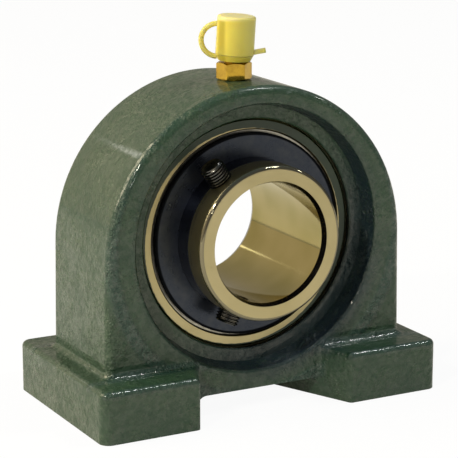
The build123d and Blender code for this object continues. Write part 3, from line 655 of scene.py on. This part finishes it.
dress(finish_named("seal_rubber", nitrile), "front_seal_lip", "rear_seal_lip")

# %% [markdown]
# ## The yellow moulding
# The cap, its strap and its collar are one half-clear plastic. Light goes in and comes out elsewhere,
# which subsurface scattering does. The cap's two edges look paler, because more light comes through
# them, and its top is painted paler as light too. One side is painted deeper as shade. Scattering
# finds none of these places by itself, so the edges and the shaded side are painted by their
# direction from the cap's axis, and the lit top by its height.

# %% Half-clear plastic
# Soft steps in millimetres, up from the ground and out from the cap's axis.
ROOF_START, CORD_START = (95.1, 95.9), (4.5, 5.2)
BAND_X, BAND_Y, SIDE_X, SIDE_Y = -0.957, -0.287, 0.88, -0.474
FLOW_SIZE, PLASTIC_GRAIN = 3, 0.35
DEEP_YELLOW, LIGHT_YELLOW, PAINTED_SHADE_YELLOW = (0.63, 0.51, 0.06), (0.69, 0.57, 0.09), (0.33, 0.265, 0.009)
THIN_YELLOW, LIT_TOP_YELLOW, CORD_YELLOW = (0.70, 0.63, 0.26), (0.68, 0.62, 0.32), (0.50, 0.48, 0.13)


def yellow_moulding(graph):
    """Half-clear plastic: painted paler where it is thin and on top, painted shade down one side."""
    place = graph.place()
    x, y, z = graph.split(place)
    y = y - NIPPLE_Y
    flow = graph.noise(place, FLOW_SIZE)
    grain = graph.noise(place, PLASTIC_GRAIN)
    across = length_of(x, y)
    reach = across + 0.01 * MM
    # Painted light on the top, and painted shade down one side.
    lit_top = graph.above(z, *ROOF_START)
    shaded_side = graph.between((x * BAND_X + y * BAND_Y) / reach, 0.93, 0.995) * (1.0 - lit_top)
    sideways = ((x * SIDE_X + y * SIDE_Y) / reach).size()
    thin = graph.between(sideways, 0.88, 0.99) * (1.0 - shaded_side)
    colour = graph.blend(flow, DEEP_YELLOW, LIGHT_YELLOW)
    colour = graph.blend(shaded_side * 0.8, colour, PAINTED_SHADE_YELLOW)
    colour = graph.blend(thin * 0.5, colour, THIN_YELLOW)
    colour = graph.blend(lit_top * 0.85, colour, LIT_TOP_YELLOW)
    colour = graph.blend(graph.above(across, *CORD_START) * 0.75, colour, CORD_YELLOW)
    return {
        "Base_Color": colour,
        "Roughness": 0.3 + grain * 0.12,
        "Normal": graph.relief(grain * (0.005 * MM) + flow * (0.03 * MM)),
    }


cap_plastic = finish_named(
    "cap_plastic", yellow_moulding,
    Subsurface_Weight=0.6, Subsurface_Radius=(1.0, 0.75, 0.15), Subsurface_Scale=0.003)
dress(cap_plastic, "nipple_cap", "cap_collar")

# %% [markdown]
# ## The set screws
# Each is a cup-point screw of 6 mm with a fine thread. Its crests catch the light as bright rings,
# which a plain cylinder can't show, so the thread is a real helix: a profile of one pitch that is
# spun with a step along the axis. The ends are cut square, the crests are turned down to a chamfer,
# and the hexagon socket is bridged to the end circle and pushed in.

# %% Cut the threads
SCREW_RADIUS, SCREW_LENGTH, SCREW_CHAMFER = 3.0 * MM, 7.0 * MM, 0.5 * MM
THREAD_PITCH, THREAD_DEPTH, THREAD_STEPS = 0.75 * MM, 0.46 * MM, 40
TURNS_BELOW, SPARE_TURNS = 1.5, 2.5
SOCKET_FLATS, SOCKET_DEPTH, SOCKET_TIP = 3.0 * MM, 3.0 * MM, 0.4 * MM
CUP_RADIUS, CUP_DEPTH, CUP_SIDES = 1.6 * MM, 0.8 * MM, 32
SCREW_Y, COLLAR_RADIUS, SCREW_CREASE = -16.2 * MM, 19.4 * MM, 32
# how far each screw is turned round the shaft, in degrees, and how far it stands out of the ring
SCREW_PLACES = ((-34.5, 4.65 * MM), (-154.5, 2.65 * MM))


def boundary_at(bm, z):
    """The open edges that lie at one height."""
    return [e for e in bm.edges
            if e.is_boundary and all(abs(v.co.z - z) < 0.02 * MM for v in e.verts)]


def verts_of(geometry):
    """The corner points among what an operator gives back."""
    return [g for g in geometry if isinstance(g, bmesh.types.BMVert)]


def edges_of(geometry):
    """The edges among what an operator gives back."""
    return [g for g in geometry if isinstance(g, bmesh.types.BMEdge)]


def edges_round(ring):
    """The edges that join a ring of points, each once, in the same order on every run."""
    return list(dict.fromkeys(e for v in ring for e in v.link_edges))


def threaded_shell(bm):
    """A helix of thread, trimmed at both ends and turned down to a chamfer."""
    root = SCREW_RADIUS - THREAD_DEPTH
    flat = THREAD_PITCH / 8
    low = -SCREW_LENGTH - THREAD_PITCH * TURNS_BELOW
    crest = THREAD_PITCH / 2
    heights = [0, crest - flat, crest + flat, THREAD_PITCH - flat, THREAD_PITCH]
    radii = [root, SCREW_RADIUS, SCREW_RADIUS, root, root]
    profile = [bm.verts.new((r, 0, low + h)) for r, h in zip(radii, heights)]
    edges = [bm.edges.new(pair) for pair in zip(profile, profile[1:])]
    turns = math.ceil((SCREW_LENGTH + SPARE_TURNS * THREAD_PITCH) / THREAD_PITCH)
    bmesh.ops.spin(
        bm, geom=profile + edges, cent=(0, 0, 0), axis=(0, 0, 1), angle=math.tau * turns,
        steps=THREAD_STEPS * turns, dvec=(0, 0, THREAD_PITCH / THREAD_STEPS))
    bmesh.ops.remove_doubles(bm, verts=bm.verts, dist=0.001 * MM)
    for z, up in ((0, 1), (-SCREW_LENGTH, -1)):
        bmesh.ops.bisect_plane(
            bm, geom=bm.verts[:] + bm.edges[:] + bm.faces[:],
            plane_co=(0, 0, z), plane_no=(0, 0, up), clear_outer=True)
    for v in bm.verts:
        from_end = min(-v.co.z, v.co.z + SCREW_LENGTH)
        limit = SCREW_RADIUS - SCREW_CHAMFER + from_end
        across = math.hypot(v.co.x, v.co.y)
        if across > limit:
            v.co.x *= limit / across
            v.co.y *= limit / across


def close_with(bm, z, radius, sides, depth, point):
    """Closes one end with a pocket: a ring of the given sides, pushed in, with a pointed bottom."""
    ring = bmesh.ops.create_circle(
        bm, segments=sides, radius=radius, cap_ends=False,
        matrix=Matrix.Translation((0, 0, z)))["verts"]
    ring_edges = edges_round(ring)
    rim = [e for e in boundary_at(bm, z) if e not in ring_edges]
    bmesh.ops.bridge_loops(bm, edges=rim + ring_edges)
    if depth:
        new = bmesh.ops.extrude_edge_only(bm, edges=ring_edges)["geom"]
        ring_edges = edges_of(new)
        bmesh.ops.translate(bm, verts=verts_of(new), vec=(0, 0, depth))
    tip = verts_of(bmesh.ops.extrude_edge_only(bm, edges=ring_edges)["geom"])
    bmesh.ops.translate(bm, verts=tip, vec=(0, 0, point))
    bmesh.ops.pointmerge(bm, verts=tip, merge_co=(0, 0, z + depth + point))


def set_screw(bm):
    """A screw along Z, with its socket at the top and its cup below."""
    socket_radius = SOCKET_FLATS / 2 / math.cos(math.radians(30))
    threaded_shell(bm)
    close_with(bm, 0, socket_radius, 6, -SOCKET_DEPTH, -SOCKET_TIP)
    close_with(bm, -SCREW_LENGTH, CUP_RADIUS, CUP_SIDES, 0, CUP_DEPTH)
    bmesh.ops.recalc_face_normals(bm, faces=bm.faces)


def smooth_below(made, degrees):
    """Smooth faces, with edges sharper than the angle kept crisp."""
    bm = bmesh.new()
    bm.from_mesh(made.data)
    for face in bm.faces:
        face.smooth = True
    for edge in bm.edges:
        edge.smooth = edge.calc_face_angle(0) < math.radians(degrees)
    bm.to_mesh(made.data)
    bm.free()


for index, (angle, standout) in enumerate(SCREW_PLACES, start=1):
    screw = mesh_object(f"threaded_screw_{index}", set_screw)
    smooth_below(screw, SCREW_CREASE)
    screw.data.transform(
        Matrix.Translation((0, SCREW_Y, SHAFT_HEIGHT))
        @ Matrix.Rotation(math.radians(angle), 4, "Y")
        @ Matrix.Translation((0, 0, COLLAR_RADIUS + standout)))
    screw.data.materials.append(metals["screw_steel"])
    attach(screw, f"screw_{index}")
    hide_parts(f"set_screw_{index}")
    print(screw.name, "faces:", len(screw.data.polygons))

# %% [markdown]
# ## The nipple's spring
# A spring gets shorter when the check ball is pressed down. It is made as one piece between the
# housing and the ball: a small circle that faces along the wire is spun round the nipple's middle
# with a step upwards, and both ends are closed.

# %% Wind the spring
SPRING_RADIUS, WIRE_RADIUS, SPRING_TURNS, SPRING_STEPS = 1.0 * MM, 0.16 * MM, 6, 32
SPRING_LOW, SPRING_HIGH, WIRE_SIDES, ROUND_CREASE = 77.24 * MM, 89.06 * MM, 14, 50


def spring(bm):
    pitch = (SPRING_HIGH - SPRING_LOW) / SPRING_TURNS
    climb = math.atan2(pitch, math.tau * SPRING_RADIUS)
    start = Matrix.Translation((SPRING_RADIUS, NIPPLE_Y, SPRING_LOW))
    facing = start @ Matrix.Rotation(climb - math.pi / 2, 4, "X")
    ring = bmesh.ops.create_circle(bm, segments=WIRE_SIDES, radius=WIRE_RADIUS, matrix=facing)["verts"]
    edges = edges_round(ring)
    last = bmesh.ops.spin(
        bm, geom=ring + edges, cent=(0, NIPPLE_Y, SPRING_LOW), axis=(0, 0, 1),
        angle=math.tau * SPRING_TURNS, steps=SPRING_STEPS * SPRING_TURNS,
        dvec=(0, 0, pitch / SPRING_STEPS))["geom_last"]
    for end in (edges, edges_of(last)):
        bmesh.ops.contextual_create(bm, geom=end)
    bmesh.ops.recalc_face_normals(bm, faces=bm.faces)


spring_piece = mesh_object("wound_spring", spring)
smooth_below(spring_piece, ROUND_CREASE)
spring_piece.data.materials.append(metals["spring_steel"])
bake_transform(spring_piece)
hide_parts("nipple_spring")
print(spring_piece.name, "faces:", len(spring_piece.data.polygons))

# %% [markdown]
# ## The strap of the nipple's cap
# The cap, its collar and the strap between them are one soft moulding. The strap is a round cord
# that leaves the collar, turns back in a bow and joins the cap's skirt. Spinning a circle half a
# turn makes the bow, and its two ends are pulled straight into what they join.

# %% Mould the strap
CAP_FOOT, CAP_TURN, CAP_LEAN = 85.0 * MM, -28.3, 3.5
CAP_PLACE = (
    Matrix.Translation((0, NIPPLE_Y, CAP_FOOT))
    @ Matrix.Rotation(math.radians(CAP_TURN), 4, "Z")
    @ Matrix.Rotation(math.radians(CAP_LEAN), 4, "Y"))
STRAP_RADIUS, STRAP_REACH, STRAP_LOW, STRAP_END = 0.67 * MM, 8.4 * MM, 1.02 * MM, 4.3 * MM
BOW_RADIUS, BOW_STEPS, CORD_SIDES = 4.05 * MM, 36, 20


def strap(bm):
    """A half turn of cord with two straight ends, drawn in the cap's own place."""
    bow_x = BOW_RADIUS - STRAP_REACH
    upright = Matrix.Translation((bow_x, 0, STRAP_LOW)) @ Matrix.Rotation(math.radians(90), 4, "Y")
    ring = bmesh.ops.create_circle(bm, segments=CORD_SIDES, radius=STRAP_RADIUS, matrix=upright)["verts"]
    edges = edges_round(ring)
    turned = bmesh.ops.spin(
        bm, geom=ring + edges, cent=(bow_x, 0, STRAP_LOW + BOW_RADIUS), axis=(0, 1, 0),
        angle=math.pi, steps=BOW_STEPS)["geom_last"]
    for end_edges in (edges, edges_of(turned)):
        new = bmesh.ops.extrude_edge_only(bm, edges=end_edges)["geom"]
        bmesh.ops.translate(bm, verts=verts_of(new), vec=(-bow_x - STRAP_END, 0, 0))
        bmesh.ops.contextual_create(bm, geom=edges_of(new))
    bmesh.ops.transform(bm, matrix=CAP_PLACE, verts=bm.verts)
    bmesh.ops.recalc_face_normals(bm, faces=bm.faces)


strap_piece = mesh_object("moulded_strap", strap)
smooth_below(strap_piece, ROUND_CREASE)
strap_piece.data.materials.append(cap_plastic)
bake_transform(strap_piece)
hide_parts("cap_strap")
print(strap_piece.name, "faces:", len(strap_piece.data.polygons))
